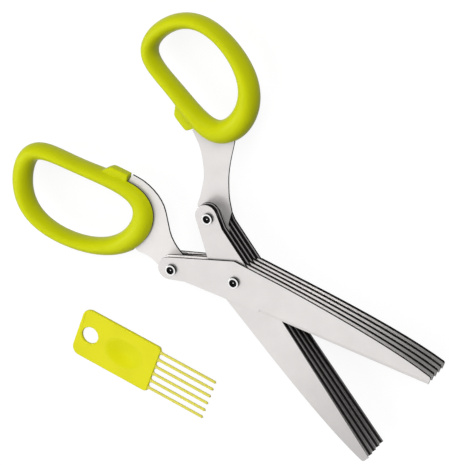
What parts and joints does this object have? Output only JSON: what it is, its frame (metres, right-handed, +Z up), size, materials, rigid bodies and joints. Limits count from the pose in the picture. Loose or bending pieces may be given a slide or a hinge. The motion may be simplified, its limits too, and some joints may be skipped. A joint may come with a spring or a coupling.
{
  "type": "herb scissors with cleaning comb",
  "caption": "Herb scissors with two fanned stacks of steel blades on one pivot, offset lime green finger loops and a yellow-green cleaning comb.",
  "frame": {"origin": "under the middle of the set's bounding box, on the surface that the set lies on", "axes": "+X along the line that halves the open blades, towards their tips; +Y towards the thumb loop's side; +Z up, square to the blades"},
  "size_m": [0.1934, 0.1698, 0.0189],
  "materials": {
    "blade_steel": "fine brushed, ground bevels",
    "rivet_steel": "polished",
    "loop_plastic": "glossy lime green",
    "comb_plastic": "semi-gloss yellow-green"
  },
  "bodies": {
    "finger_half": {"finger_blade_1": "blade_steel", "finger_blade_2": "blade_steel", "finger_blade_3": "blade_steel", "finger_blade_4": "blade_steel", "finger_blade_5": "blade_steel", "finger_spacer_1": "rivet_steel", "finger_spacer_2": "rivet_steel", "finger_spacer_3": "rivet_steel", "finger_spacer_4": "rivet_steel", "pivot_washer_1": "rivet_steel", "pivot_washer_2": "rivet_steel", "pivot_washer_3": "rivet_steel", "pivot_washer_4": "rivet_steel", "finger_rear_rivet": "rivet_steel", "pivot_rivet": "rivet_steel", "finger_loop_handle": "loop_plastic"},
    "thumb_half": {"thumb_blade_1": "blade_steel", "thumb_blade_2": "blade_steel", "thumb_blade_3": "blade_steel", "thumb_blade_4": "blade_steel", "thumb_blade_5": "blade_steel", "thumb_spacer_1": "rivet_steel", "thumb_spacer_2": "rivet_steel", "thumb_spacer_3": "rivet_steel", "thumb_spacer_4": "rivet_steel", "thumb_rear_rivet": "rivet_steel", "thumb_loop_handle": "loop_plastic"},
    "comb": {"cleaning_comb": "comb_plastic"}
  },
  "joints": [
    {"name": "blade_pivot", "type": "hinge", "parent": "finger_half", "child": "thumb_half", "pos_m": [0.00984, 0.00325, 0.0094], "axis": [0, 0, 1], "range_deg": [-31, 31]},
    {"name": "comb_lift", "type": "slide", "parent": "finger_half", "child": "comb", "axis": [0, 0, 1], "range_m": [0, 0.06]}
  ]
}
